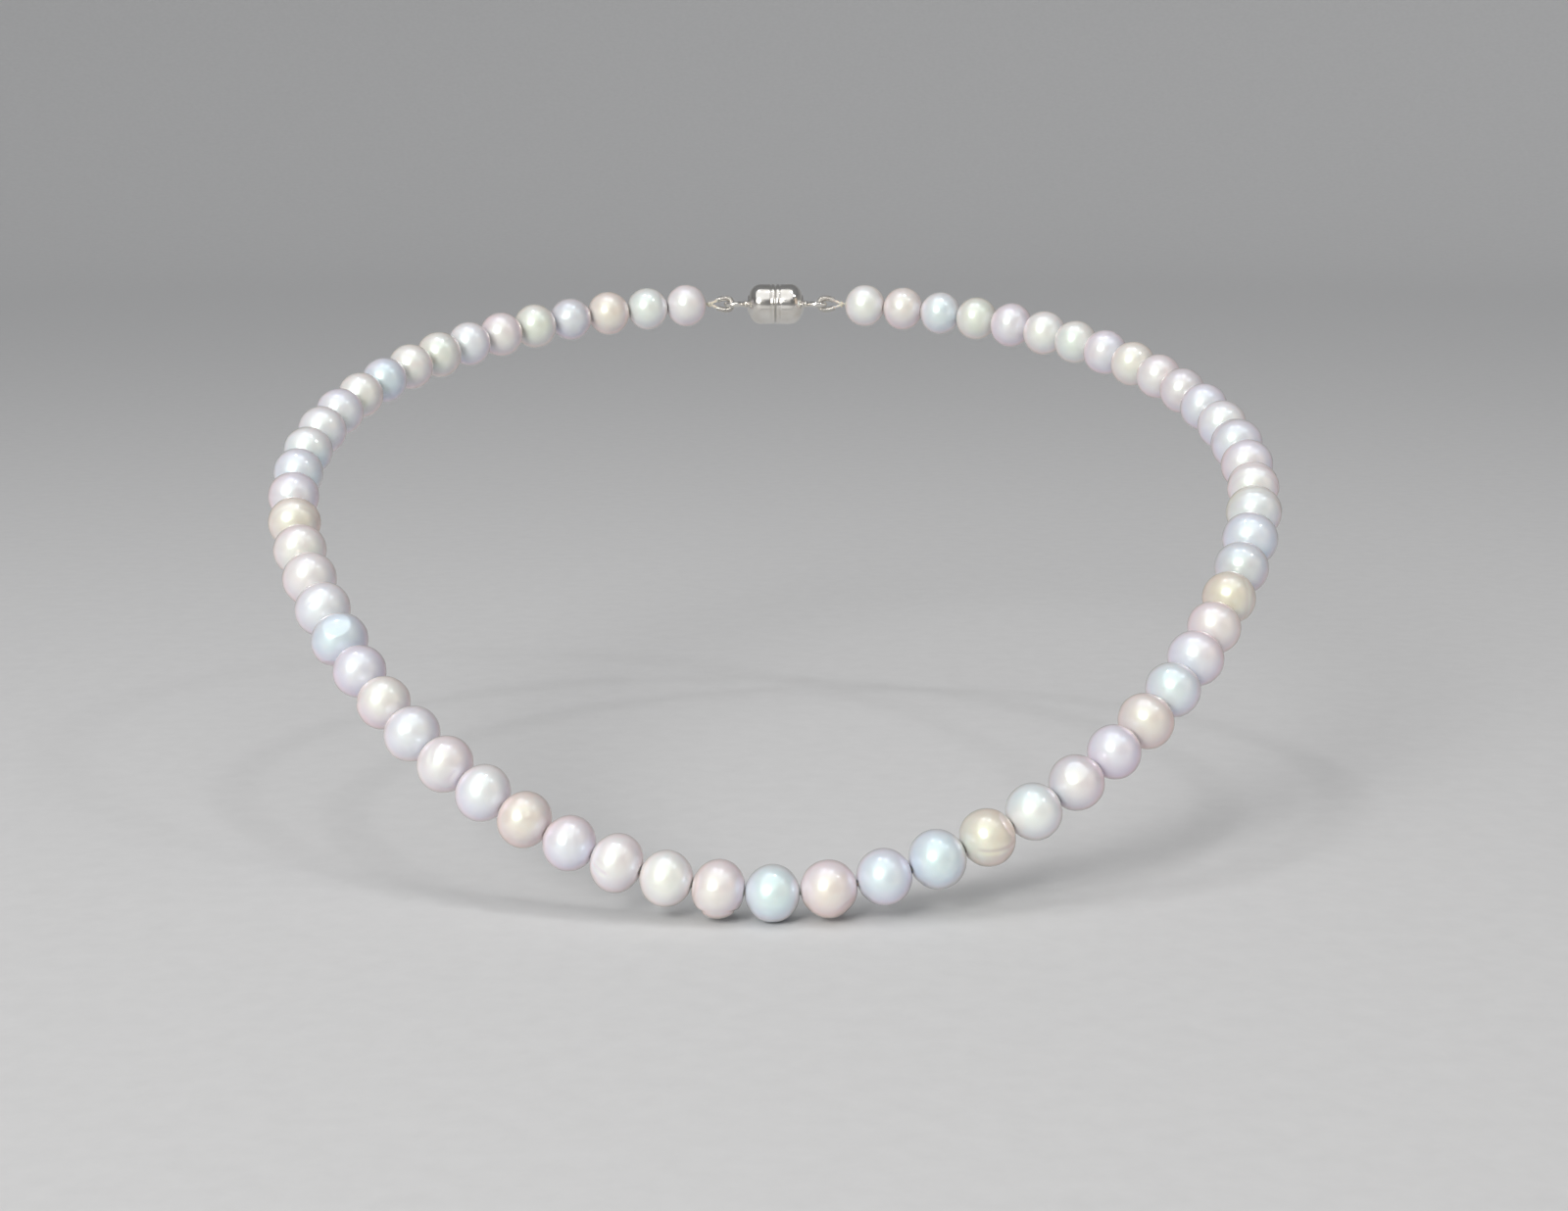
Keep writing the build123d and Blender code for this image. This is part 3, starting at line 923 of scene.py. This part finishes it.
def make_stage():
    """A pale round sweep: a floor under the lowest pearl that curves up into a low wall."""
    floor = CAD_BOX[0].z - 0.0001
    flat_radius = STAGE_RADIUS - STAGE_CURVE
    section = [(0.001, floor), (0.4, floor), (flat_radius, floor)]
    for a in np.linspace(0, math.pi / 2, 24)[1:]:
        section.append(
            (flat_radius + STAGE_CURVE * math.sin(a), floor + STAGE_CURVE * (1 - math.cos(a)))
        )
    section.append((STAGE_RADIUS, STAGE_TOP))
    turn = np.linspace(0, 2 * math.pi, STAGE_SEGMENTS, endpoint=False)
    points = [(r * math.cos(a), r * math.sin(a), z) for r, z in section for a in turn]
    faces = [tuple(range(STAGE_SEGMENTS))]
    faces += [face[::-1] for face in wrapped_rows(len(section), STAGE_SEGMENTS, False)]
    sweep = new_object("sweep", points, faces)
    material, tree, shader = new_material("sweep_paper")
    _, moved = own_coordinates(tree, (0, 0, 0))
    grain = noise(tree, moved, 260, 4.0, 0.6)
    paper = mixed(tree, grain, rgb(0.79, 0.79, 0.79), rgb(0.83, 0.83, 0.83))
    tree.links.new(paper, shader.inputs["Base Color"])
    shader.inputs["Roughness"].default_value = 0.8
    bumped(tree, shader, (grain, 0.0002, 0.15))
    sweep.data.materials.append(material)


LOOK_AT = Vector((0.0, 0.055, 0.025))
SPOT_DIRECTIONS = [(0.16, -0.10, 1.0), (0.58, -0.30, 0.77), (-0.22, 0.02, 0.97)]


def new_light(name, kind, direction, distance, power, colour):
    """A lamp that shines on the necklace from a direction."""
    data = bpy.data.lights.new(name, kind)
    data.energy, data.color = power, colour
    light = bpy.data.objects.new(name, data)
    light.location = LOOK_AT + Vector(direction).normalized() * distance
    light.rotation_mode = "QUATERNION"
    light.rotation_quaternion = Vector(direction).to_track_quat("Z", "Y")
    bpy.context.scene.collection.objects.link(light)
    return data


def fade_to_edges(data):
    """Dims a square area lamp towards its edges, as a softbox is."""
    data.use_nodes = True
    tree = data.node_tree
    emission = tree.nodes["Emission"]
    place = node(tree, "ShaderNodeNewGeometry")
    middle = node(tree, "ShaderNodeVectorMath", operation="DISTANCE")
    middle.inputs[1].default_value = (0.5, 0.5, 0.0)
    tree.links.new(place.outputs["Parametric"], middle.inputs[0])
    tree.links.new(ranged(tree, middle.outputs["Value"], 0.08, 0.5, 2.4, 0.0), emission.inputs["Strength"])


def make_lights():
    """A large key from the front left, a weak warm fill, three small spots and a soft sky."""
    key = new_light("key", "AREA", (-0.40, -0.82, 0.42), 1.2, 3.9, (1.0, 0.99, 0.98))
    key.shape, key.size, key.spread = "SQUARE", 0.77, math.radians(90)
    fade_to_edges(key)
    warm = new_light("warm_fill", "AREA", (0.75, -0.35, 0.3), 0.9, 0.35, (1.0, 0.78, 0.58))
    warm.shape, warm.size = "SQUARE", 0.45
    for i, direction in enumerate(SPOT_DIRECTIONS):
        spot = new_light(f"spot_{i + 1}", "AREA", direction, 0.8, 0.3, (1, 1, 1))
        spot.shape, spot.size = "DISK", 0.03
    ceiling = new_light("ceiling", "SUN", (-0.15, -0.45, 0.9), 1.5, 0.85, (1, 1, 1))
    ceiling.angle = math.radians(70)
    world = bpy.data.worlds.new("studio")
    world.use_nodes = True
    background = world.node_tree.nodes["Background"]
    background.inputs["Color"].default_value = (0.94, 0.96, 1.0, 1.0)
    background.inputs["Strength"].default_value = 0.22
    bpy.context.scene.world = world


# ---------------------------------------------------------------- the scene
make_camera()
ALL_PLACES = places()
MATERIALS = {
    "silk": silk("silk"),
    "silver": metal("silver", rgb(0.93, 0.92, 0.90), rgb(0.86, 0.84, 0.80), 0.16, (1, 1, 1)),
    "nickel": metal("nickel", rgb(0.80, 0.79, 0.76), rgb(0.72, 0.70, 0.67), 0.28, (0.15, 1, 1)),
    "wire": metal("wire", rgb(0.92, 0.91, 0.89), rgb(0.84, 0.82, 0.79), 0.22, (1, 1, 1)),
}
make_pearls(ALL_PLACES)
LEFT_END, RIGHT_END = make_thread(ALL_PLACES, MATERIALS["silk"])
make_clasp("left", LEFT_END, MATERIALS)
make_clasp("right", RIGHT_END, MATERIALS)
make_stage()
make_lights()
bpy.context.scene.view_settings.view_transform = "Standard"
